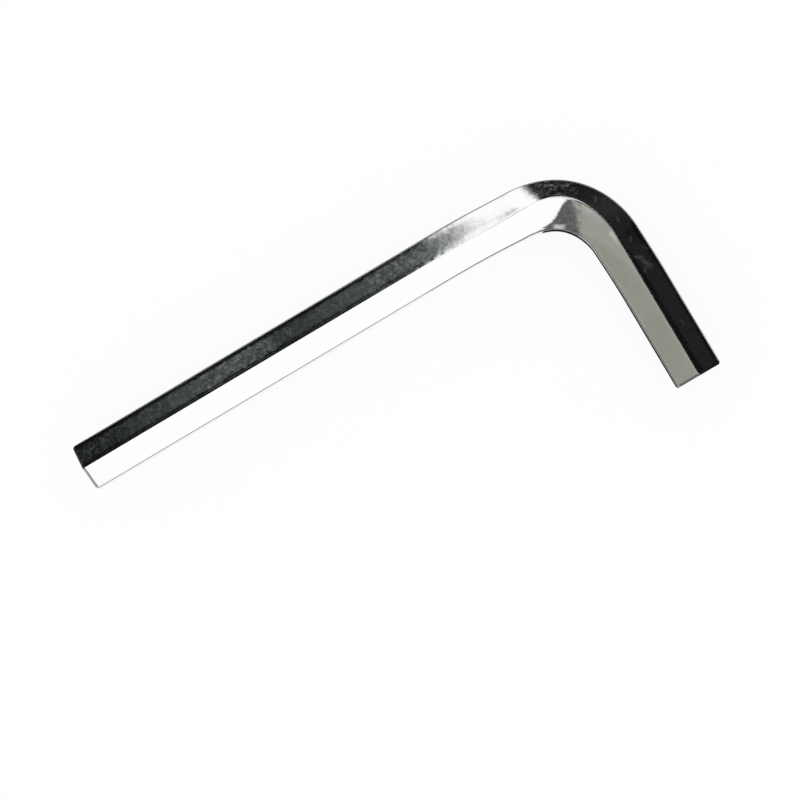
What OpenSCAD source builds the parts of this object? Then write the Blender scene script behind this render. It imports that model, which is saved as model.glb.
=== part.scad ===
// Hex key: an L-shaped wrench bent from one length of hexagonal bar.
// It lies as it comes to rest, on the lower edges of its two arms, with the bend level.
// +X runs along the long arm towards the bend, and the short arm points to -Y.
// The origin is under the middle of the box that holds the whole key.

/* [Bar] */
// Size across two opposite flats of the bar
across_flats = 10; // [6:0.5:14]
// Rounding of the six long edges
edge_r = 0.6; // [0.2:0.1:1]

/* [Arms] */
// Length of the long arm, from its tip to the outer flat of the short arm
long_arm = 121; // [90:1:180]
// Length of the short arm, from its tip to the outer flat of the long arm
short_arm = 52; // [44:1:80]

/* [Bend] */
// Radius of the inner flat where the bar is bent
inner_bend_r = 10; // [6:0.5:14]
// How far the long arm leans inwards where the bend begins
lean = 0.3; // [0:0.1:1]
// Length of the long arm over which it comes to lean inwards
lean_in = 18; // [10:1:20]
// Length of the bend over which the lean goes away again
lean_out = 12; // [6:1:15]
// How far the squeezed inner flat swells towards the inside of the bend
inner_swell = 0.5; // [0:0.1:1.5]
// How far the stretched outer flat is drawn in
outer_draw = 0.4; // [0:0.1:1]
// How far the upper and lower edges are pushed outwards at the worst place
edge_shift = 0.9; // [0:0.1:1.5]
// Degrees into the bend, counted from the long arm, at which the edges are pushed furthest
edge_shift_peak = 40; // [20:1:70]
// Length of each arm, next to the bend, in which the bar has lost its true section
run_out = 11; // [4:1:12]
// Length at each end of the bend in which the section is still changing
run_in = 7; // [3:1:10]

/* [Tips] */
// Width of the bevel round each tip, measured in from the flats on the end face
tip_bevel = 0.3; // [0.1:0.1:1]
// Length of the bar that the bevel takes up
tip_bevel_length = 0.5; // [0.1:0.1:1]

/* [Hidden] */

// Straight steps that make up the rounding of one edge
edge_steps = 4;
// Steps from one cross-section to the next along the leaning part, the bend and the run-out
lean_steps = 16;
bend_steps = 30;
run_out_steps = 10;

half_flats = across_flats / 2;
// Height above the bar's centre line at which a side flat ends in a corner
side_corner_z = half_flats * tan(30);
// Height of the top edge above the centre line, after its rounding
top_z = (half_flats - edge_r) / cos(30) + edge_r;
// Radius of the bar's centre line in the bend, its length there, and the centre it turns about
centre_r = inner_bend_r + half_flats;
bend_length = centre_r * PI / 2;
bend_x = long_arm / 2 - inner_bend_r - across_flats;
bend_y = short_arm / 2 - inner_bend_r - across_flats;
// Where the tips lie, measured along the bar from the place where the bend begins
long_tip = -long_arm / 2 - bend_x;
short_tip = bend_length + bend_y + short_arm / 2;
// Size of an end face as a part of the true section
end_face_size = 1 - tip_bevel / half_flats;

// A smooth rise from 0 to 1 as t goes from 0 to 1, level at both ends
function ease(t) = let (c = min(1, max(0, t))) c * c * (3 - 2 * c);

// How far the centre line lies inwards of its ideal path, at a distance d along the bar
function lean_at(d) = lean * ease(d < 0 ? 1 + d / lean_in : 1 - d / lean_out);

// How far the flats have changed, from 0 to 1, at a distance d along the bar
function change_at(d) =
    ease(min(run_out + d, run_out + bend_length - d) / (run_out + run_in));

// How far the edges are pushed at an angle of the bend, from 0 to 1: up to the peak, then back
function edge_push(angle) =
    ease(angle < edge_shift_peak ? angle / edge_shift_peak : (90 - angle) / (90 - edge_shift_peak));

// One corner of the true section, as a run of [outward, up] points round its rounding
function corner(turn) = [
    for (i = [0 : edge_steps])
        let (a = turn - 30 + 60 * i / edge_steps)
        (half_flats - edge_r) / cos(30) * [cos(turn), sin(turn)] + edge_r * [cos(a), sin(a)]
];

// The true section of the bar: a hexagon with one corner up and one down, and rounded corners
true_section = [for (k = [0 : 5]) each corner(30 + 60 * k)];

// A point of the section after bending. change and push go from 0 to 1
function formed(p, change, push) =
    let (
        side = p.x > 0 ? outer_draw : inner_swell,
        rise = max(0, abs(p.y) - side_corner_z) / (top_z - side_corner_z)
    )
    [p.x - side * change * abs(p.x) / half_flats + edge_shift * push * rise, p.y];

// The ring of points round the bar at a distance d along it, with the centre line at z = 0
function ring(d, size = 1) =
    let (
        angle = 90 * min(1, max(0, d / bend_length)),
        outward = [sin(angle), cos(angle)],
        on_long_arm = [min(0, d), 0],
        on_short_arm = [0, min(0, bend_length - d)],
        middle = [bend_x, bend_y] + on_long_arm + on_short_arm + (centre_r - lean_at(d)) * outward
    )
    [
        for (p = true_section)
            let (q = formed(p * size, change_at(d), edge_push(angle)), at = middle + q.x * outward)
            [at.x, at.y, q.y]
    ];

// All the rings, from the long tip to the short tip. The first and the last are the end faces
rings = [
    ring(long_tip, end_face_size),
    ring(long_tip + tip_bevel_length),
    for (i = [0 : lean_steps - 1]) ring(lean_in * (i / lean_steps - 1)),
    for (i = [0 : bend_steps]) ring(bend_length * i / bend_steps),
    for (i = [1 : run_out_steps]) ring(bend_length + run_out * i / run_out_steps),
    ring(short_tip - tip_bevel_length),
    ring(short_tip, end_face_size)
];

// The whole bar as one loft through all the rings
module bent_bar() {
    n = len(true_section);
    last = (len(rings) - 1) * n;
    polyhedron(
        points = [for (one = rings) each one],
        faces = concat(
            [[for (i = [0 : n - 1]) i]],
            [for (r = [0 : len(rings) - 2]) for (i = [0 : n - 1])
                [r * n + i, (r + 1) * n + i, (r + 1) * n + (i + 1) % n, r * n + (i + 1) % n]],
            [[for (i = [n - 1 : -1 : 0]) last + i]]
        ),
        convexity = 4
    );
}

module hex_key() {
    color("lightsteelblue")
        translate([0, 0, top_z])
            bent_bar();
}

hex_key();
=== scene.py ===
# %% [markdown]
# # A bright plated hex key
# A hex key is one length of hexagonal steel bar, cut off, bevelled at both tips, bent once and plated.
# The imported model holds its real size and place, so it is loaded first and nothing in it is moved.
# What this lesson adds is the finish: a smooth bar with rounded edges, its plating, and studio light.

# %% Load the frame
import math

import bmesh
import bpy
from mathutils import Matrix, Vector


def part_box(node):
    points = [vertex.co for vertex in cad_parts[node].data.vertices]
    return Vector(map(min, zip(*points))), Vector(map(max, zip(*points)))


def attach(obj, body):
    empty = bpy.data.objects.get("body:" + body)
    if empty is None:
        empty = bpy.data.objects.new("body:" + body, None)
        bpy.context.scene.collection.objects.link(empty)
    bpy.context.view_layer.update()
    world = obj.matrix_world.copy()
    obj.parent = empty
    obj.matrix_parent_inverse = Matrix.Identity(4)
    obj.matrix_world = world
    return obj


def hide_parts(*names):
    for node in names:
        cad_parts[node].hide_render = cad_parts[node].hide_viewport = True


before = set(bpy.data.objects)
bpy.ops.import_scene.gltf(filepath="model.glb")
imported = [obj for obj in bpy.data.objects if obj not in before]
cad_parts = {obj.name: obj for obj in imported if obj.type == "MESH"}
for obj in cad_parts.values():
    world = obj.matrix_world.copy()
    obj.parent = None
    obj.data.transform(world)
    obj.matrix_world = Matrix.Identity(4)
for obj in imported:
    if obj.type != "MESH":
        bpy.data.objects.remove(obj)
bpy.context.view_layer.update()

# %% [markdown]
# ## Driving sizes
# Every size below is in metres. The lengths of the two arms come from the frame, because they are the
# sides of the key's box. The size across the flats and the bend are what the bar and the bending tool
# give, so they are written once here and everything else is worked out from them.

# %% Driving sizes
MM = 0.001
LOW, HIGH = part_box("hex_key")
LONG_ARM = HIGH.x - LOW.x
SHORT_ARM = HIGH.y - LOW.y
ACROSS_FLATS = 10 * MM
EDGE_RADIUS = 0.6 * MM
INNER_BEND_RADIUS = 10 * MM
LEAN = 0.3 * MM
LEAN_IN = 18 * MM
LEAN_OUT = 12 * MM
INNER_SWELL = 0.5 * MM
OUTER_DRAW = 0.4 * MM
EDGE_SHIFT = 0.9 * MM
EDGE_SHIFT_PEAK = 40
RUN_OUT = 11 * MM
RUN_IN = 7 * MM
TIP_BEVEL = 0.3 * MM
TIP_BEVEL_LENGTH = 0.5 * MM

HALF_FLATS = ACROSS_FLATS / 2
SIDE_CORNER_Z = HALF_FLATS * math.tan(math.radians(30))
TOP_Z = (HALF_FLATS - EDGE_RADIUS) / math.cos(math.radians(30)) + EDGE_RADIUS
CENTRE_RADIUS = INNER_BEND_RADIUS + HALF_FLATS
BEND_LENGTH = CENTRE_RADIUS * math.pi / 2
SQUARE = INNER_BEND_RADIUS + ACROSS_FLATS
BEND_CENTRE = Vector((HIGH.x - SQUARE, HIGH.y - SQUARE, TOP_Z))
LONG_TIP = LOW.x - BEND_CENTRE.x
SHORT_TIP = BEND_LENGTH + BEND_CENTRE.y - LOW.y
print(f"Arms {LONG_ARM / MM:.1f} and {SHORT_ARM / MM:.1f} mm, {2 * TOP_Z / MM:.2f} mm over the edges")

# %% [markdown]
# ## The section of the bar
# Drawn hexagonal bar has six flats and six rounded edges. A bevel modifier could round a plain hexagon,
# but here each edge is an arc written as a formula, so the section can later be squeezed in the bend.
# Polishing before plating rolls each flat off a little beside its edges, by a few hundredths of a
# millimetre, and the bend makes the inner flats bulge by about as little. That is too little to see as
# shape, but a mirror finish shows it as borders and as a curved reflection.

# %% The section of the bar
FILLET_STEPS = 8
FLAT_STOPS = (0.012, 0.06, 0.13, 0.22, 0.36, 0.5, 0.64, 0.78, 0.87, 0.94, 0.988)
ROLL_SHARE = 0.24
ROLL_DEPTH = 0.022 * MM
FLAT_BULGE = 0.07 * MM


def polar(angle, radius=1.0):
    """A point of the section at an angle in degrees, as (outward, up)."""
    return Vector((math.cos(math.radians(angle)), math.sin(math.radians(angle)))) * radius


def edge_arc(turn):
    """The rounding of the edge that points towards turn degrees."""
    centre = polar(turn, (HALF_FLATS - EDGE_RADIUS) / math.cos(math.radians(30)))
    return [centre + polar(turn - 30 + 60 * i / FILLET_STEPS, EDGE_RADIUS) for i in range(FILLET_STEPS + 1)]


def roll_off(t):
    """How deep a flat is rolled off at t, from 0 at one edge to 1 at the other."""
    near = max(0.0, 1 - min(t, 1 - t) / ROLL_SHARE)
    return ROLL_DEPTH * near * near


def section():
    """The whole section, anticlockwise, as (outward, up) points, and how each point bulges in the bend."""
    points, bulges = [], []
    for k in range(6):
        arc, after = edge_arc(30 + 60 * k), edge_arc(90 + 60 * k)
        outwards = polar(60 + 60 * k)
        depth = FLAT_BULGE if outwards.x < 0 else 0.0
        points += [p - polar(30 + 60 * k, roll_off(0)) for p in arc]
        bulges += [Vector((0, 0)) for p in arc]
        points += [arc[-1].lerp(after[0], t) - outwards * roll_off(t) for t in FLAT_STOPS]
        bulges += [outwards * depth * 4 * t * (1 - t) for t in FLAT_STOPS]
    return points, bulges


SECTION, BULGES = section()
print("Points round the section:", len(SECTION))

# %% [markdown]
# ## What the bend does to the section
# When the bar is bent, its inner flat is squeezed and swells, its outer flat is stretched and drawn in,
# and the edges between them are pushed outwards. The photograph shows this most in the first half of
# the bend. One function moves a point of the section, so each cross-section is formed the same way.
# Places along the bar are distances from the start of the bend, and are negative on the long arm.

# %% Forming the section
def ease(t):
    """A smooth rise from 0 to 1, level at both ends."""
    c = min(1.0, max(0.0, t))
    return c * c * (3 - 2 * c)


def lean_at(d):
    """How far the centre line lies inwards of its ideal path."""
    return LEAN * ease(1 + d / LEAN_IN if d < 0 else 1 - d / LEAN_OUT)


def change_at(d):
    """How far the flats have changed, from 0 to 1."""
    return ease(min(RUN_OUT + d, RUN_OUT + BEND_LENGTH - d) / (RUN_OUT + RUN_IN))


def edge_push(angle):
    """How far the edges are pushed at an angle of the bend, from 0 to 1."""
    rising = angle < EDGE_SHIFT_PEAK
    return ease(angle / EDGE_SHIFT_PEAK if rising else (90 - angle) / (90 - EDGE_SHIFT_PEAK))


def formed(point, change, push):
    """A point of the section after bending."""
    side = OUTER_DRAW if point.x > 0 else INNER_SWELL
    rise = max(0.0, abs(point.y) - SIDE_CORNER_Z) / (TOP_Z - SIDE_CORNER_Z)
    shift = EDGE_SHIFT * push * rise - side * change * abs(point.x) / HALF_FLATS
    return Vector((point.x + shift, point.y))


# %% [markdown]
# ## The line of the bar
# The bar is a sweep: the section is placed at many distances along the centre line. A curve object with
# a bevel profile would sweep too, but it can't change its section on the way, so the rings are made
# here. They lie close together in the bend and further apart along the straight arms.

# %% The line of the bar
FINE_STEP = 0.4 * MM
ARM_STEP = 4 * MM
TIP_STRAIGHT = 1.6 * MM


def ring_at(d, points):
    """Points of the section in space, at a distance d along the bar."""
    angle = math.radians(90 * min(1.0, max(0.0, d / BEND_LENGTH)))
    outward = Vector((math.sin(angle), math.cos(angle), 0))
    along_arms = Vector((min(0.0, d), min(0.0, BEND_LENGTH - d), 0))
    middle = BEND_CENTRE + along_arms + outward * (CENTRE_RADIUS - lean_at(d))
    moved = [formed(p, change_at(d), edge_push(math.degrees(angle))) for p in points]
    return [middle + outward * p.x + Vector((0, 0, p.y)) for p in moved]


def distances():
    """Where the rings lie between the two tips."""
    fine_start, fine_end = -max(LEAN_IN, RUN_OUT), BEND_LENGTH + RUN_OUT
    spans = (
        (LONG_TIP + TIP_STRAIGHT, fine_start, ARM_STEP),
        (fine_start, fine_end, FINE_STEP),
        (fine_end, SHORT_TIP - TIP_STRAIGHT, ARM_STEP),
    )
    out = []
    for start, end, step in spans:
        count = math.ceil((end - start) / step)
        out += [start + (end - start) * i / count for i in range(count)]
    return out + [SHORT_TIP - TIP_STRAIGHT]


print("Rings along the bar:", len(distances()))

# %% [markdown]
# ## The bevelled tips
# Each tip is cut off square and has a small bevel of the same width all round. Extra rings round each
# sharp line by a few hundredths of a millimetre, as polishing does, so that it catches the light.

# %% The bevelled tips
SOFTEN = 0.05 * MM
FACE_RINGS = (0.97, 0.85, 0.6, 0.3)


def tip_rings():
    """Rings from the flats to the end face, each as (size of the section, depth below the end face)."""
    end_size = 1 - TIP_BEVEL / HALF_FLATS
    slope = Vector((TIP_BEVEL / HALF_FLATS, TIP_BEVEL_LENGTH))
    part = SOFTEN / math.hypot(TIP_BEVEL, TIP_BEVEL_LENGTH)
    rings = [(1.0, TIP_BEVEL_LENGTH + 3 * SOFTEN), (1.0, TIP_BEVEL_LENGTH + SOFTEN)]
    stops = (0.3 * part, part, 2 * part, 1 - 2 * part, 1 - part)
    rings += [(1 - slope.x * t, TIP_BEVEL_LENGTH - slope.y * t) for t in stops]
    rings += [(end_size, 0.3 * SOFTEN), (end_size - SOFTEN / HALF_FLATS, 0.0)]
    return rings + [(end_size * share, 0.0) for share in FACE_RINGS]


TIP_RINGS = tip_rings()
print("Rings on each tip:", len(TIP_RINGS))

# %% [markdown]
# ## The mesh of the key
# The rings are joined with quads, and a fan closes each end face. All of it is one closed mesh. The
# end faces get a material slot of their own, because a cut face is finished differently from a flat.

# %% The mesh of the key
def add_ring(mesh, d, size=1.0):
    """Adds one ring of vertices at a distance along the bar."""
    points = [p * size + b * change_at(d) for p, b in zip(SECTION, BULGES)]
    return [mesh.verts.new(place) for place in ring_at(d, points)]


def build_key():
    """One closed mesh, swept along the bar and closed by its two tips."""
    mesh = bmesh.new()
    rings = [add_ring(mesh, LONG_TIP + depth, size) for size, depth in reversed(TIP_RINGS)]
    rings += [add_ring(mesh, d) for d in distances()]
    rings += [add_ring(mesh, SHORT_TIP - depth, size) for size, depth in TIP_RINGS]
    count = len(SECTION)
    for number, (a, b) in enumerate(zip(rings, rings[1:])):
        cut = number < len(FACE_RINGS) or number >= len(rings) - 1 - len(FACE_RINGS)
        for i in range(count):
            face = mesh.faces.new((a[i], a[(i + 1) % count], b[(i + 1) % count], b[i]))
            face.material_index = 1 if cut else 0
    for ring, d in ((rings[0], LONG_TIP), (rings[-1], SHORT_TIP)):
        centre = mesh.verts.new(ring_at(d, [Vector((0, 0))])[0])
        for i in range(count):
            face = mesh.faces.new((ring[i], ring[(i + 1) % count], centre))
            face.material_index = 1
    bmesh.ops.recalc_face_normals(mesh, faces=mesh.faces)
    for face in mesh.faces:
        face.smooth = True
    data = bpy.data.meshes.new("plated_key")
    mesh.to_mesh(data)
    mesh.free()
    return data


key = bpy.data.objects.new("plated_key", build_key())
bpy.context.scene.collection.objects.link(key)
print("Faces in the key:", len(key.data.polygons))

# %% [markdown]
# ## Shader maths as Python
# Node materials are easier to read as expressions. Value wraps one output socket. Arithmetic on it adds
# a Math node, and works in either order, so 1 - mask is allowed. Nodes adds every other kind of node:
# it sets the node's own settings first, and then its sockets, from numbers or from other values.

# %% Shader maths as Python
class Value:
    """One output socket of a node, which can be used in Python expressions."""

    def __init__(self, socket):
        self.socket = socket

    def math(self, operation, *others):
        node = self.socket.id_data.nodes.new("ShaderNodeMath")
        node.operation = operation
        for slot, value in zip(node.inputs, (self, *others)):
            connect(slot, value)
        return Value(node.outputs[0])

    def from_number(self, operation, number):
        node = self.socket.id_data.nodes.new("ShaderNodeMath")
        node.operation = operation
        connect(node.inputs[0], number)
        connect(node.inputs[1], self)
        return Value(node.outputs[0])

    def __add__(self, other):
        return self.math("ADD", other)

    def __sub__(self, other):
        return self.math("SUBTRACT", other)

    def __mul__(self, other):
        return self.math("MULTIPLY", other)

    def __rsub__(self, number):
        return self.from_number("SUBTRACT", number)

    __radd__ = __add__
    __rmul__ = __mul__


def connect(slot, value):
    """Links a Value to an input socket, or stores a plain number or colour in it."""
    if isinstance(value, Value):
        slot.id_data.links.new(value.socket, slot)
    else:
        slot.default_value = value


class Nodes:
    """Adds nodes to one node tree."""

    def __init__(self, tree):
        self.tree = tree
        tree.nodes.clear()

    def add(self, kind, settings=None, output=0, **inputs):
        """One node. Socket names are written with _ for a space. Returns one output, by name or number."""
        node = self.tree.nodes.new(kind)
        for name, value in (settings or {}).items():
            setattr(node, name, value)
        by_name = {slot.identifier.replace(" ", "_"): slot for slot in node.inputs}
        for name, value in inputs.items():
            connect(by_name[name], value)
        return Value(node.outputs[output]) if len(node.outputs) else node

    def axes(self, vector):
        """The x, y and z of a vector."""
        outputs = self.add("ShaderNodeSeparateXYZ", Vector=vector).socket.node.outputs
        return [Value(axis) for axis in outputs]

    def smooth(self, value, low, high):
        """A smooth step from 0 to 1 as value goes from low to high."""
        settings = {"interpolation_type": "SMOOTHSTEP"}
        return self.add("ShaderNodeMapRange", settings, Value=value, From_Min=low, From_Max=high)

    def band(self, value, low, high, soft):
        """1 where value is between low and high, with soft borders of that width."""
        up = self.smooth(value, low - soft / 2, low + soft / 2)
        return up - self.smooth(value, high - soft / 2, high + soft / 2)

    def mix(self, mask, a, b):
        """Colour a where mask is 0 and b where it is 1."""
        settings = {"data_type": "RGBA"}
        return self.add("ShaderNodeMix", settings, "Result", Factor_Float=mask, A_Color=a, B_Color=b)

    def noise(self, vector, size, detail=2.0, roughness=0.5, distortion=0.0):
        """Noise whose features are about size metres across."""
        shape = {"Detail": detail, "Roughness": roughness, "Distortion": distortion}
        return self.add("ShaderNodeTexNoise", None, "Fac", Vector=vector, Scale=1 / size, **shape)


# %% [markdown]
# ## Nickel
# The key is plated with bright nickel, a mirror finish over steel that was never quite flat. A plain
# metal shader with low roughness would look like a rendering, so every finish below is uneven. Noise
# texture in the key's own coordinates gives the unevenness, because it needs no unwrapping and runs
# round the edges without a seam. Soft clouds and small spots are shared by both finishes.

# %% Nickel
NICKEL = (0.80, 0.805, 0.79, 1)
NICKEL_DULL = (0.68, 0.70, 0.69, 1)
# The darker nickel is used for stains and for painted dark reflection
NICKEL_DARK = (0.42, 0.45, 0.45, 1)
CLOUD_SIZE = 6 * MM
SPOT_SIZE = 0.9 * MM


def plating_nodes(nodes):
    """The parts that both finishes share: the place on the key, and two sizes of unevenness."""
    place = nodes.add("ShaderNodeTexCoord", None, "Object")
    clouds = nodes.noise(place, CLOUD_SIZE, 3.0, 0.55)
    spots = nodes.noise(place, SPOT_SIZE, 2.5, 0.6, 0.4)
    return place, clouds, spots


print(f"Clouds of {CLOUD_SIZE / MM:.1f} mm and spots of {SPOT_SIZE / MM:.1f} mm")

# %% [markdown]
# ## Marks of use
# A hex key picks up small scratches and stains. They could be painted on a picture, but a short soft
# stroke written as a formula stays sharp at any distance, and each can be put where the real one is.
# The last row is a dull spot on the inner side of the bend, which shows pale in a dark reflection.

# %% Marks of use
STROKE_CORE = 0.2
# Each as (x, y, angle, length, width, strength), in millimetres and degrees
MARKS = (
    (59.3, 1.6, 120, 1.6, 0.35, 0.4),
    (52.0, 19.3, 140, 2.4, 0.3, 0.6),
    (49.5, 22.0, 165, 2.8, 0.3, 0.6),
    (57.1, 0.6, 150, 2.0, 0.5, 0.6),
    (57.9, -1.3, 115, 2.8, 0.6, 0.7),
    (57.0, -2.2, 30, 1.6, 0.5, 0.5),
    (55.7, 15.0, 60, 1.5, 0.4, 0.6),
    (57.3, 14.1, 20, 1.1, 0.4, 0.5),
    (57.4, 9.3, 80, 1.3, 0.35, 0.5),
    (57.6, 4.5, 75, 1.2, 0.35, 0.6),
    (58.0, -15.0, 100, 1.6, 0.3, 0.4),
    (23.9, 19.0, 62, 4.0, 0.22, 0.5),
    (-57.0, 23.6, 20, 1.9, 0.3, 0.9),
    (-54.5, 24.4, 150, 1.0, 0.3, 0.6),
    (46.6, 14.0, -31, 2.6, 0.75, 13.0),
)


def mark(nodes, x, y, stroke):
    """1 on a short soft stroke on the key, times its strength."""
    cx, cy, angle, length, width, strength = stroke
    c, s = math.cos(math.radians(angle)), math.sin(math.radians(angle))
    along = ((x - cx * MM) * c + (y - cy * MM) * s).math("ABSOLUTE")
    across = ((y - cy * MM) * c - (x - cx * MM) * s).math("ABSOLUTE")
    ends = 1 - nodes.smooth(along, (length / 2 - width) * MM, (length / 2 + width / 2) * MM)
    return ends * (1 - nodes.smooth(across, STROKE_CORE * width * MM, width * MM)) * strength


print("Marks of use:", len(MARKS))

# %% [markdown]
# ## Where the nickel is mottled
# The mottle isn't everywhere. It lies on the outer flat of the long arm, most of all in two stretches,
# and on the outer flat where the bend starts. It is partly plating unevenness and partly painted
# reflection: its stretches draw lighter patches into the dark reflection of the flat. A triangle on the
# inner side of the bend is a painted dark reflection. Each place is a mask with soft borders, made from
# the position on the key, and the masks multiply. A border is written as the two places between which it
# fades, and a band as (from, to, width of its borders).

# %% Where the nickel is mottled
UPPER_FACES = (8.3 * MM, 8.7 * MM)
OUTER_FLAT = (21.7 * MM, 25.1 * MM, 0.5 * MM)
ARM_MOTTLE_ENDS = (20 * MM, 30 * MM)
# The stretches are painted reflection as well as mottle: lighter patches in the flat's dark reflection
MOTTLED_STRETCHES = ((-31 * MM, -15.5 * MM, 3 * MM), (8 * MM, 21.5 * MM, 4 * MM))
BETWEEN_STRETCHES = 0.4
OUTSIDE_OF_BEND = (15.3 * MM, 16.2 * MM)
BEND_START = (44.5 * MM, 53 * MM, 2 * MM)
BEND_START_FROM = (12 * MM, 14 * MM)
BEND_START_STRENGTH = 1.2
# The triangle is a painted dark reflection: the nickel is darker where the bend mirrors the dark gap
TRIANGLE_POINT = Vector((43.6 * MM, 14.4 * MM))
TRIANGLE_NORMAL = Vector((0.412, -0.911))
TRIANGLE_BORDER = 0.5 * MM
TRIANGLE_FAR_SLOPE = 0.57
TRIANGLE_FAR_SIDE = (43.2 * MM, 45.2 * MM)
TRIANGLE_FROM = (8.5 * MM, 10.5 * MM)


def dark_reflection_triangle(nodes, x, y):
    """1 in the triangle of painted dark reflection: past a slanted border, and before a steeper one."""
    past_border = (x - TRIANGLE_POINT.x) * TRIANGLE_NORMAL.x + (y - TRIANGLE_POINT.y) * TRIANGLE_NORMAL.y
    near_side = nodes.smooth(past_border, 0, TRIANGLE_BORDER)
    far_side = 1 - nodes.smooth(x - y * TRIANGLE_FAR_SLOPE, *TRIANGLE_FAR_SIDE)
    return near_side * far_side * nodes.smooth(y, *TRIANGLE_FROM)


def wear_and_painted_reflection_masks(nodes, place):
    """How mottled the nickel is, with painted reflection, the painted dark triangle and the marks of use.
    """
    x, y, z = nodes.axes(place)
    upper_faces = nodes.smooth(z, *UPPER_FACES)
    on_arm = (1 - nodes.smooth(x, *ARM_MOTTLE_ENDS)) * nodes.band(y, *OUTER_FLAT)
    stretches = BETWEEN_STRETCHES + sum(nodes.band(x, *stretch) for stretch in MOTTLED_STRETCHES)
    from_x, from_y = x - BEND_CENTRE.x, y - BEND_CENTRE.y
    outside = nodes.smooth((from_x * from_x + from_y * from_y).math("SQRT"), *OUTSIDE_OF_BEND)
    at_bend = nodes.band(x, *BEND_START) * outside * nodes.smooth(y, *BEND_START_FROM)
    triangle = dark_reflection_triangle(nodes, x, y) * (1 - outside) * upper_faces
    strokes = sum(mark(nodes, x, y, stroke) for stroke in MARKS) * upper_faces
    return on_arm * stretches + BEND_START_STRENGTH * at_bend, triangle, strokes


print("Mottled stretches of the long arm:", len(MOTTLED_STRETCHES))

# %% [markdown]
# ## The plating on the flats
# Unevenness works at several scales. Slow waves come from the drawing of the bar and a fine orange-peel
# from the plating bath: both are bump, because they only tilt the reflection. Haze is a trace of rough,
# less metallic nickel, which turns a black reflection grey. Blotches darken the colour itself: in the
# mottle they are partly stain and partly painted reflection, and in the triangle a painted dark reflection.

# %% The plating on the flats
WAVE_SIZE = 9 * MM
WAVE_DEPTH = 0.04 * MM
PEEL_SIZE = 1.6 * MM
PEEL_DEPTH = 0.008 * MM
BLOTCH_SIZE = 1.1 * MM
SPOTS_SHOW = (0.45, 0.72)
BLOTCHES_SHOW = (0.40, 0.60)
MOTTLE_HAZE = 0.10
MARK_HAZE = 0.05
# How much the colour darkens: stain and painted reflection in the mottle, painted dark reflection in the
# triangle
MOTTLE_STAIN_AND_PAINTED_REFLECTION = 0.85
TRIANGLE_PAINTED_REFLECTION = 0.65
MIRROR_ROUGHNESS = 0.055
CLOUD_ROUGHNESS = 0.02
HAZE_ROUGHNESS = 0.2


def plating_bump(nodes, place, clouds):
    """The normal of the plating: slow waves, with the finer peel on top of them."""
    waves = nodes.noise(place, WAVE_SIZE, 1.0)
    peel = nodes.noise(place, PEEL_SIZE, 1.0, 0.5) * (0.5 + clouds)
    wave_bump = nodes.add("ShaderNodeBump", None, "Normal", Strength=1.0, Distance=WAVE_DEPTH, Height=waves)
    return nodes.add(
        "ShaderNodeBump", None, "Normal", Strength=1.0, Distance=PEEL_DEPTH, Height=peel, Normal=wave_bump
    )


def plated_flats():
    material = bpy.data.materials.new("bright_nickel")
    material.use_nodes = True
    nodes = Nodes(material.node_tree)
    place, clouds, spots = plating_nodes(nodes)
    mottled, triangle, strokes = wear_and_painted_reflection_masks(nodes, place)
    haze = nodes.smooth(spots, *SPOTS_SHOW) * mottled * MOTTLE_HAZE + strokes * MARK_HAZE
    # Darker blotches: stain and painted reflection in the mottle, painted dark reflection in the triangle
    blotches = nodes.smooth(nodes.noise(place, BLOTCH_SIZE, 2.5, 0.6, 0.5), *BLOTCHES_SHOW)
    stain_and_painted_reflection = MOTTLE_STAIN_AND_PAINTED_REFLECTION * mottled.math("MINIMUM", 1.0) + TRIANGLE_PAINTED_REFLECTION * triangle
    shader = nodes.add(
        "ShaderNodeBsdfPrincipled",
        None,
        "BSDF",
        Base_Color=nodes.mix(blotches * stain_and_painted_reflection, NICKEL, NICKEL_DARK),
        Metallic=1.0 - haze,
        Roughness=MIRROR_ROUGHNESS + CLOUD_ROUGHNESS * clouds + HAZE_ROUGHNESS * haze,
        Normal=plating_bump(nodes, place, clouds),
    )
    nodes.add("ShaderNodeOutputMaterial", Surface=shader)
    return material


key.data.materials.append(plated_flats())
print("Finish on the flats:", key.data.materials[0].name)

# %% [markdown]
# ## The cut ends
# The end faces were sheared, ground and then plated with the rest. Grinding leaves fine parallel lines,
# so here a stretched noise takes the place of the orange-peel and the finish is rougher.

# %% The cut ends
GRINDING_SIZE = 1.6 * MM
GRINDING_STRETCH = (1.0, 1.0, 14.0)
GRINDING_DEPTH = 0.02 * MM
DULL_SPOTS_SHOW = (0.4, 0.7)
GROUND_ROUGHNESS = 0.2
LINE_ROUGHNESS = 0.15
GROUND_CLOUDS = 0.05


def cut_ends():
    material = bpy.data.materials.new("ground_nickel")
    material.use_nodes = True
    nodes = Nodes(material.node_tree)
    place, clouds, spots = plating_nodes(nodes)
    lines_place = nodes.add("ShaderNodeMapping", None, "Vector", Vector=place, Scale=GRINDING_STRETCH)
    lines = nodes.noise(lines_place, GRINDING_SIZE, 3.0, 0.6)
    bump = nodes.add("ShaderNodeBump", None, "Normal", Strength=1.0, Distance=GRINDING_DEPTH, Height=lines)
    shader = nodes.add(
        "ShaderNodeBsdfPrincipled",
        None,
        "BSDF",
        Base_Color=nodes.mix(nodes.smooth(spots, *DULL_SPOTS_SHOW), NICKEL, NICKEL_DULL),
        Metallic=1.0,
        Roughness=GROUND_ROUGHNESS + LINE_ROUGHNESS * lines + GROUND_CLOUDS * clouds,
        Normal=bump,
    )
    nodes.add("ShaderNodeOutputMaterial", Surface=shader)
    return material


key.data.materials.append(cut_ends())
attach(key, "root")
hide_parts("hex_key")
print("Finishes on the key:", [m.name for m in key.data.materials])

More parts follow.
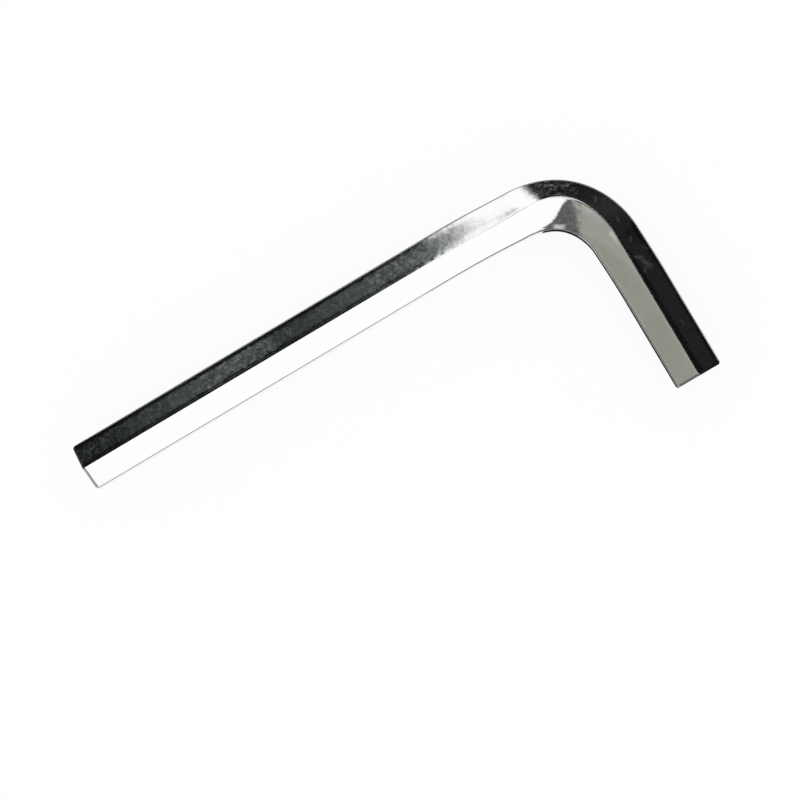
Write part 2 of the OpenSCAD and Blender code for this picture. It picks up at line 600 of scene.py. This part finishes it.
# %% [markdown]
# ## The floor
# The key lies on white paper. The paper is a diffuse surface that keeps a soft shadow, mixed with a
# plain white that only the camera and mirror-like reflections see, so it looks white without more light.

# %% The floor
FLOOR_SIZE = 3.0
FLOOR_GLOW = 0.92
FIBRE_SIZE = 2 * MM
PAPER_WHITE = (0.93, 0.93, 0.93, 1)
PAPER_BRIGHT = (0.95, 0.95, 0.95, 1)


def seen_directly(nodes):
    """1 for rays from the camera, from a reflection or through glass."""
    path = nodes.add("ShaderNodeLightPath").socket.node
    names = ("Is Camera Ray", "Is Glossy Ray", "Is Transmission Ray")
    camera, glossy, through = (Value(path.outputs[name]) for name in names)
    return (camera + glossy + through).math("MINIMUM", 1.0)


def paper():
    material = bpy.data.materials.new("white_paper")
    material.use_nodes = True
    nodes = Nodes(material.node_tree)
    place = nodes.add("ShaderNodeTexCoord", None, "Object")
    fibres = nodes.noise(place, FIBRE_SIZE, 4.0, 0.6)
    white = nodes.mix(fibres, PAPER_WHITE, PAPER_BRIGHT)
    lit = nodes.add("ShaderNodeBsdfDiffuse", None, "BSDF", Color=white)
    glow = nodes.add("ShaderNodeEmission", None, "Emission", Color=(1, 1, 1, 1), Strength=1.0)
    share = seen_directly(nodes) * FLOOR_GLOW
    blend = nodes.add("ShaderNodeMixShader", None, "Shader", Fac=share, Shader=lit, Shader_001=glow)
    nodes.add("ShaderNodeOutputMaterial", Surface=blend)
    return material


def build_floor():
    mesh = bmesh.new()
    bmesh.ops.create_grid(mesh, x_segments=8, y_segments=8, size=FLOOR_SIZE / 2)
    data = bpy.data.meshes.new("paper_floor")
    mesh.to_mesh(data)
    mesh.free()
    return data


floor = bpy.data.objects.new("paper_floor", build_floor())
bpy.context.scene.collection.objects.link(floor)
floor.data.materials.append(paper())
print("Floor width in metres:", FLOOR_SIZE)

# %% [markdown]
# ## A black flag beside the key
# The rounded edges at the sides of the key mirror the floor beside it, and so does the upright flat on
# the inside of the bend. Black paper outside the key and in the corner of the L draws these edges dark,
# as a photographer would do it. The camera and the light don't see the paper, so the floor stays plain.
# The outer paper follows the bar, so its inner border is a row of points under the middle of the bar.

# %% The shape of the flag
FLAG_HEIGHT = 0.05 * MM
FLAG_REACH = 1300 * MM
FLAG_CORNER = 12 * MM
FLAG_BEND_STEPS = 60
FLAG_UNDER_BEND = (2.8 * MM, 2.2 * MM, 2 * MM)


def outer_flag_pairs():
    """Pairs of points on the floor along the bar: under its middle and far out beside it."""
    start, end = LONG_TIP - FLAG_REACH, SHORT_TIP + FLAG_REACH
    in_bend = [BEND_LENGTH * i / FLAG_BEND_STEPS for i in range(FLAG_BEND_STEPS + 1)]
    return [ring_at(d, [Vector((0, 0)), Vector((FLAG_REACH, 0))]) for d in (start, *in_bend, end)]


def inner_flag_corners():
    """The corners of the paper in the corner of the L, from the short tip to the bend and back."""
    bend_x, bend_y = BEND_CENTRE.x, BEND_CENTRE.y
    right, high = bend_x + CENTRE_RADIUS, bend_y + FLAG_CORNER
    low, left = LOW.y - FLAG_CORNER, bend_x - 2 * FLAG_CORNER
    upper, lower, lift = FLAG_UNDER_BEND
    border = ((bend_x + upper, high), (bend_x + lower, bend_y + lift), (left, bend_y - FLAG_CORNER))
    return ((left, low), (right, low), (right, high), *border)


def build_flag():
    mesh = bmesh.new()
    rows = [[mesh.verts.new((p.x, p.y, FLAG_HEIGHT)) for p in pair] for pair in outer_flag_pairs()]
    for (inner, outer), (next_inner, next_outer) in zip(rows, rows[1:]):
        mesh.faces.new((inner, outer, next_outer, next_inner))
    mesh.faces.new([mesh.verts.new((x, y, FLAG_HEIGHT / 2)) for x, y in inner_flag_corners()])
    data = bpy.data.meshes.new("black_flag")
    mesh.to_mesh(data)
    mesh.free()
    return data


flag = bpy.data.objects.new("black_flag", build_flag())
bpy.context.scene.collection.objects.link(flag)
print("Faces in the flag:", len(flag.data.polygons))

# %% [markdown]
# ## The paper of the flag
# The paper isn't black all over. Beside the white stretch of the long arm it is pale, because the edge
# is only a thin grey line there. Further out from the key it fades to the white of the floor, or the
# flats, which mirror it when the key is seen from behind, would look black.

# %% The paper of the flag
FLAG_BLACK = (0.02, 0.02, 0.02, 1)
FLAG_FIBRES = (0.05, 0.05, 0.048, 1)
FLAG_PALE = (0.55, 0.55, 0.54, 1)
PALE_STARTS = (24 * MM, 40 * MM)
PALE_ENDS = (44 * MM, 48 * MM)
PALE_FROM = (21 * MM, 22 * MM)
FADES_TO_WHITE = (12 * MM, 45 * MM)
TIP_MARGIN = 2 * MM


def pale_stretch(nodes, x, y):
    """1 beside the white stretch before the bend."""
    along = nodes.smooth(x, *PALE_STARTS) * (1 - nodes.smooth(x, *PALE_ENDS))
    return along * nodes.smooth(y, *PALE_FROM)


def white_far_out(nodes, x, y):
    """1 far out beside the key, but not beyond its tips."""
    beside = nodes.smooth(x, LOW.x - TIP_MARGIN, LOW.x) * nodes.smooth(y, LOW.y - TIP_MARGIN, LOW.y)
    out_from_long_arm = y - (BEND_CENTRE.y + CENTRE_RADIUS)
    out_from_short_arm = x - (BEND_CENTRE.x + CENTRE_RADIUS)
    return nodes.smooth(out_from_long_arm.math("MAXIMUM", out_from_short_arm), *FADES_TO_WHITE) * beside


def black_paper():
    material = bpy.data.materials.new("black_paper")
    material.use_nodes = True
    nodes = Nodes(material.node_tree)
    place = nodes.add("ShaderNodeTexCoord", None, "Object")
    x, y = nodes.axes(place)[:2]
    colour = nodes.mix(nodes.noise(place, FIBRE_SIZE, 4.0, 0.6), FLAG_BLACK, FLAG_FIBRES)
    colour = nodes.mix(white_far_out(nodes, x, y), colour, PAPER_WHITE)
    colour = nodes.mix(pale_stretch(nodes, x, y), colour, FLAG_PALE)
    lit = nodes.add("ShaderNodeBsdfDiffuse", None, "BSDF", Color=colour)
    nodes.add("ShaderNodeOutputMaterial", Surface=lit)
    return material


flag.data.materials.append(black_paper())
flag.visible_camera = False
flag.visible_diffuse = False
flag.visible_shadow = False
print("Paper of the flag:", flag.data.materials[0].name)

# %% [markdown]
# ## The studio that the plating mirrors
# Bright metal has almost no colour of its own: it shows the room. A photographer lights it with white
# and black cards, and so does this world. It is plain white for every ray that lights a surface, and
# only mirror reflections see the cards. Cards could also be planes in the scene, but painted ones have
# soft borders and cast no shadow. They are painted by two angles in degrees: by the compass, where 0 is
# +Y, the way the outer flats of the long arm face, and 90 is +X, and by the height above the horizon.

# %% Directions in the studio
WHITE_CARD = (1.235, 1.23, 1.25, 1)
DEEP_BLACK = (0.004, 0.004, 0.004, 1)


def direction(nodes):
    """Where a mirrored ray goes: its x and y, its compass direction and its height."""
    x, y, z = nodes.axes(nodes.add("ShaderNodeTexCoord", None, "Generated"))
    compass = x.math("ARCTAN2", y) * (180 / math.pi)
    height = z.math("ARCSINE") * (180 / math.pi)
    return x, y, compass, height


print("White card:", WHITE_CARD[:3])

# %% [markdown]
# ## The olive card
# The inner flat of the short arm mirrors a card of calm olive grey. The side of the flat next to the
# ridge mirrors the upper part of the card. The card has a lighter rim above and below, which makes the
# light borders of the flat, is dark at the bottom, and is a little dimmer where the straight part of
# the arm mirrors it.

# %% The olive card
OLIVE_CARD = (0.352, 0.365, 0.315, 1)
OLIVE_DIM = (0.325, 0.335, 0.28, 1)
OLIVE_TOP = (0.385, 0.40, 0.355, 1)
OLIVE_RIM = (0.47, 0.48, 0.44, 1)
OLIVE_LOW = (0.09, 0.09, 0.085, 1)
RIDGE_LIGHT = (0.56, 0.57, 0.53, 1)
OLIVE_PLACE = (-135, -75, 7)
SQUARE_TO_ARM = (-89.8, -88.4, 1.2)
LOW_TO_RIM = (27.3, 28.4)
RIM_TO_CARD = (28.9, 29.9)
CARD_TO_TOP = (34.7, 36.3)
TOP_TO_RIM = (44, 50)
RIDGE_LIGHT_COMPASS = (-91.5, -86, 1.5)
RIDGE_LIGHT_FROM = (40, 42)


def olive_card(nodes, compass, height):
    """The colour of the card at a compass direction and a height."""
    olive = nodes.mix(nodes.band(compass, *SQUARE_TO_ARM), OLIVE_CARD, OLIVE_DIM)
    olive = nodes.mix(nodes.smooth(height, *CARD_TO_TOP), olive, OLIVE_TOP)
    rim = nodes.smooth(height, *TOP_TO_RIM) + 1 - nodes.smooth(height, *RIM_TO_CARD)
    olive = nodes.mix(rim, olive, OLIVE_RIM)
    olive = nodes.mix(nodes.smooth(height, *LOW_TO_RIM), OLIVE_LOW, olive)
    ridge_line = nodes.band(compass, *RIDGE_LIGHT_COMPASS) * nodes.smooth(height, *RIDGE_LIGHT_FROM)
    return nodes.mix(ridge_line, olive, RIDGE_LIGHT)


print("Olive card from", OLIVE_PLACE[0], "to", OLIVE_PLACE[1], "degrees")

# %% [markdown]
# ## The gap behind the white card
# On the inner side of the bend the reflection passes from the white card to the olive one, and between
# them lies the dark triangle of the photograph. It mirrors an unlit gap between the cards, whose two
# borders slant in opposite ways. The gap is darkest beside the white card.

# %% The gap behind the white card
GAP_EDGE = (0.022, 0.024, 0.023, 1)
GAP_MIDDLE = (0.16, 0.165, 0.16, 1)
GAP_REACH = (-170, -110, 4)
LEFT_SLANT = 1.45
LEFT_HEIGHT = 39
LEFT_BORDER = (-160, -157)
EDGE_TO_MIDDLE = (-158.5, -153.5)
RIGHT_SLANT = 1.03
RIGHT_HEIGHT = 40
RIGHT_BORDER = (-122, -115)


def dark_gap(nodes, compass, height):
    """Where the gap is, and its colour."""
    from_left = compass - (height - LEFT_HEIGHT) * LEFT_SLANT
    from_right = compass + (height - RIGHT_HEIGHT) * RIGHT_SLANT
    left, right = nodes.smooth(from_left, *LEFT_BORDER), 1 - nodes.smooth(from_right, *RIGHT_BORDER)
    colour = nodes.mix(nodes.smooth(from_left, *EDGE_TO_MIDDLE), GAP_EDGE, GAP_MIDDLE)
    return left * right * nodes.band(compass, *GAP_REACH), colour


print("Gap from", GAP_REACH[0], "to", GAP_REACH[1], "degrees")

# %% [markdown]
# ## The black side
# The outer flats mirror black card, which is a little less black where the bend mirrors it. The camera
# sees each place of the long arm at a slightly different angle, so its outer flat mirrors a sweep of
# several degrees, past the end of the card, where a dim room shows. That gives the arm its slow change
# from black to grey. The darker step in the middle of the arm is a narrow dim band in the room.

# %% The black side
BLACK_CARD = (0.0150, 0.0160, 0.0165, 1)
DIM_CARD = (0.027, 0.029, 0.030, 1)
BLACK_SIDE = (-75, 165, 7)
DIM_CARD_PLACE = (14, 74, 8)
CARD_BOTTOM = (8, 10)
CARD_TOP = (27.8, 29.2)
BESIDE_SHORT_ARM = (70, 88)
BOTTOM_RISE = 16

ROOM = (0.100, 0.116, 0.118, 1)
ROOM_DIM = (0.0125, 0.015, 0.0165, 1)
ROOM_MIDDLE = (0.062, 0.074, 0.076, 1)
ROOM_PLACE = (-30, 2.0, 1.0)
ROOM_HEIGHTS = (24.3, 27.6, 1.2)
ROOM_STARTS = (-7.8, -4.6)
DIM_BAND = (-3.75, -2.7, 0.25)
MIDDLE_BAND = (-2.9, -1.6, 0.9)


def dim_room(nodes, compass, height):
    """The room that the outer flat of the long arm mirrors."""
    room = nodes.mix(nodes.smooth(compass, *ROOM_STARTS), ROOM_DIM, ROOM)
    room = nodes.mix(nodes.band(compass, *DIM_BAND), room, ROOM_DIM)
    room = nodes.mix(nodes.band(compass, *MIDDLE_BAND), room, ROOM_MIDDLE)
    return nodes.mix(nodes.band(height, *ROOM_HEIGHTS), DEEP_BLACK, room)


def black_side(nodes, compass, height):
    """The black card, its less black part, and the room."""
    bottom = height - BOTTOM_RISE * nodes.smooth(compass, *BESIDE_SHORT_ARM)
    on_card = nodes.smooth(bottom, *CARD_BOTTOM) * (1 - nodes.smooth(height, *CARD_TOP))
    black = nodes.mix(on_card, DEEP_BLACK, BLACK_CARD)
    black = nodes.mix(nodes.band(compass, *DIM_CARD_PLACE) * on_card, black, DIM_CARD)
    return nodes.mix(nodes.band(compass, *ROOM_PLACE), black, dim_room(nodes, compass, height))


print("Black side from", BLACK_SIDE[0], "to", BLACK_SIDE[1], "degrees")

# %% [markdown]
# ## Overhead
# The ridge along the top of the bar mirrors what hangs above it. Near the top the compass turns too
# fast to be useful, so this part is painted by the x and y of the ray, which are both 0 straight up.
# White cards hang in two directions with black between them, and a grey ceiling further towards -Y.

# %% Overhead
CEILING = (0.45, 0.46, 0.45, 1)
OVERHEAD_FROM = (58, 70)
OVERHEAD_LOWER = 18
OVERHEAD_LOWER_COMPASS = (20, 54, 6)
INNER_SIDE = (-0.06, -0.02)
INNER_SLOPE = 1.2
INNER_BORDER = (-0.02, 0.0)
CARD_SIDE = (0.0, 0.008)
PAST_CARD = (0.02, 0.03)
PAST_CARD_SLOPE = 0.78
PAST_CARD_BORDER = (-0.02, 0.0)
CEILING_PLACE = (-0.55, -0.2, 0.1)


def overhead_place(nodes, compass, height):
    """1 high above the key. It begins lower where the ridge turns with the bend."""
    lower = OVERHEAD_LOWER * nodes.band(compass, *OVERHEAD_LOWER_COMPASS)
    return nodes.smooth(height + lower, *OVERHEAD_FROM)


def overhead(nodes, x, y):
    """The colour high above the key."""
    inner_white = 1 - nodes.smooth(y, *INNER_SIDE)
    inner_white = inner_white * nodes.smooth(x - y * INNER_SLOPE, *INNER_BORDER)
    colour = nodes.mix(inner_white, DEEP_BLACK, WHITE_CARD)
    card_side = nodes.smooth(x, *CARD_SIDE)
    colour = nodes.mix(card_side, colour, WHITE_CARD)
    past_card = nodes.smooth(x, *PAST_CARD)
    past_card = past_card * (1 - nodes.smooth(y - x * PAST_CARD_SLOPE, *PAST_CARD_BORDER))
    colour = nodes.mix(past_card, colour, DEEP_BLACK)
    return nodes.mix(card_side * nodes.band(y, *CEILING_PLACE), colour, CEILING)


print("Overhead begins at", OVERHEAD_FROM[0], "degrees of height")

# %% [markdown]
# ## The horizon and a strip of light
# Low down, just above the edge of the floor, the studio is dark, and that draws the lines of the bevels
# and of the side edges. It is lighter in two directions, where the photograph has greyer lines.
# A narrow strip of white light stands beside the room. The last part of the long arm, which leans a
# little before the bend, mirrors it as the bright stretch.

# %% The horizon and a strip of light
HORIZON = (0.012, 0.012, 0.012, 1)
HORIZON_GREY = (0.15, 0.15, 0.15, 1)
HORIZON_LIGHT = (0.42, 0.42, 0.42, 1)
LIGHT_HORIZON = (-136, -100, 6)
GREY_HORIZON = (-156, -136, 6)
HORIZON_HEIGHT = (9, 19)
BEHIND = (140, 165)
BEHIND_RISE = 9

STRIP_MIDDLE = 25.6
STRIP_LEAN = 0.7
STRIP_LEAN_ABOVE = 0.6
STRIP_LEFT = (0.3, 3.5)
STRIP_RIGHT = (9, 15.5)
STRIP_PLACE = (0.0, 30, 0.8)
STRIP_BOTTOM = (22, 25)
STRIP_BOTTOM_SLOPE = 1.5
STRIP_TOP = (62, 72)


def horizon(nodes, compass):
    """The colour at the horizon."""
    colour = nodes.mix(nodes.band(compass, *LIGHT_HORIZON), HORIZON, HORIZON_LIGHT)
    return nodes.mix(nodes.band(compass, *GREY_HORIZON), colour, HORIZON_GREY)


def above_horizon(nodes, compass, height):
    """1 above the horizon, which lies higher behind the key."""
    behind = nodes.smooth(compass.math("ABSOLUTE"), *BEHIND)
    return nodes.smooth(height - BEHIND_RISE * behind, *HORIZON_HEIGHT)


def light_strip(nodes, compass, height):
    """1 on the strip. It is narrowest at its middle height: its left border leans away from there."""
    below = (STRIP_MIDDLE - height).math("MAXIMUM", 0.0)
    above = (height - STRIP_MIDDLE).math("MAXIMUM", 0.0)
    off_middle = below + above * STRIP_LEAN_ABOVE
    strip = nodes.smooth(compass + STRIP_LEAN * off_middle, *STRIP_LEFT)
    strip = strip * (1 - nodes.smooth(compass, *STRIP_RIGHT)) * nodes.band(compass, *STRIP_PLACE)
    strip = strip * nodes.smooth(height + STRIP_BOTTOM_SLOPE * compass, *STRIP_BOTTOM)
    return strip * (1 - nodes.smooth(height, *STRIP_TOP))


print("Strip of light at a height of", STRIP_MIDDLE, "degrees")

# %% [markdown]
# ## The world
# The cards are laid over each other in this order, and the last one is on top. Light Path tells a
# mirror reflection from every other ray, which gets plain white, so the cards light nothing.

# %% The world
WORLD_LIGHT = 1.0


def studio_colour(nodes):
    """The colour of the studio in the direction of a ray."""
    x, y, compass, height = direction(nodes)
    olive, black = olive_card(nodes, compass, height), black_side(nodes, compass, height)
    gap_place, gap = dark_gap(nodes, compass, height)
    colour = nodes.mix(nodes.band(compass, *OLIVE_PLACE), WHITE_CARD, olive)
    colour = nodes.mix(gap_place, colour, gap)
    colour = nodes.mix(nodes.band(compass, *BLACK_SIDE), colour, black)
    colour = nodes.mix(overhead_place(nodes, compass, height), colour, overhead(nodes, x, y))
    colour = nodes.mix(above_horizon(nodes, compass, height), horizon(nodes, compass), colour)
    return nodes.mix(light_strip(nodes, compass, height), colour, WHITE_CARD)


def build_world():
    world = bpy.data.worlds.new("studio")
    world.use_nodes = True
    nodes = Nodes(world.node_tree)
    path = nodes.add("ShaderNodeLightPath").socket.node
    in_mirror = Value(path.outputs["Is Glossy Ray"])
    plain = (WORLD_LIGHT, WORLD_LIGHT, WORLD_LIGHT, 1)
    colour = nodes.mix(in_mirror, plain, studio_colour(nodes))
    background = nodes.add("ShaderNodeBackground", None, "Background", Color=colour, Strength=1.0)
    nodes.add("ShaderNodeOutputWorld", Surface=background)
    bpy.context.scene.world = world


build_world()
bpy.context.scene.view_settings.view_transform = "Standard"
print("World strength for lit surfaces:", WORLD_LIGHT)

# %% [markdown]
# ## A soft lamp
# The world alone would leave no shadow to tell where the key touches the paper. One wide lamp high
# above, to the upper left, adds a weak and very soft one. It is hidden from mirror reflections, because
# a photographer would keep it out of the flats too.

# %% A soft lamp
LAMP_PLACE = Vector((-0.35, 0.45, 0.9))
LAMP_SIZE = 0.6
LAMP_POWER = 0.6


def soft_lamp(name, place, size, power):
    light = bpy.data.lights.new(name, "AREA")
    light.shape = "DISK"
    light.size = size
    light.energy = power
    lamp = bpy.data.objects.new(name, light)
    aim = (-place).to_track_quat("-Z", "Y").to_matrix().to_4x4()
    lamp.matrix_world = Matrix.Translation(place) @ aim
    lamp.visible_glossy = False
    bpy.context.scene.collection.objects.link(lamp)
    return lamp


lamp = soft_lamp("overhead_softbox", LAMP_PLACE, LAMP_SIZE, LAMP_POWER)
print("Lamp power in watts:", lamp.data.energy)

# %% [markdown]
# ## The camera
# The photograph looks straight down on the plane of the bend through a long lens. Its scale and the
# tilt of the long arm were measured on the picture, so they are the driving values here. The picture
# is 800 pixels square and shows about 5 pixels to a millimetre.

# %% The camera
PICTURE_PIXELS = 800
SENSOR = 36.0
CAMERA_HEIGHT = 0.650
CAMERA_FOOT = Vector((0.0244, -0.0252, TOP_Z + SIDE_CORNER_Z))
PIXELS_PER_METRE = 4983
FOCAL_PIXELS = PIXELS_PER_METRE * CAMERA_HEIGHT
LONG_ARM_TILT = -30.65
TILT_BACK = 0.909
TILT_SIDE = 2.889


def build_camera():
    data = bpy.data.cameras.new("camera")
    data.sensor_width = SENSOR
    data.lens = SENSOR * FOCAL_PIXELS / PICTURE_PIXELS
    data.clip_start = 0.01
    data.clip_end = 20
    camera = bpy.data.objects.new("camera", data)
    turn = Matrix.Identity(4)
    for angle, axis in ((LONG_ARM_TILT, "Z"), (TILT_BACK, "X"), (TILT_SIDE, "Y")):
        turn = turn @ Matrix.Rotation(math.radians(angle), 4, axis)
    camera.matrix_world = Matrix.Translation(CAMERA_FOOT + Vector((0, 0, CAMERA_HEIGHT))) @ turn
    bpy.context.scene.collection.objects.link(camera)
    bpy.context.scene.camera = camera
    return camera


camera = build_camera()
print(f"Lens {camera.data.lens:.1f} mm, {CAMERA_HEIGHT / MM:.0f} mm above the key")
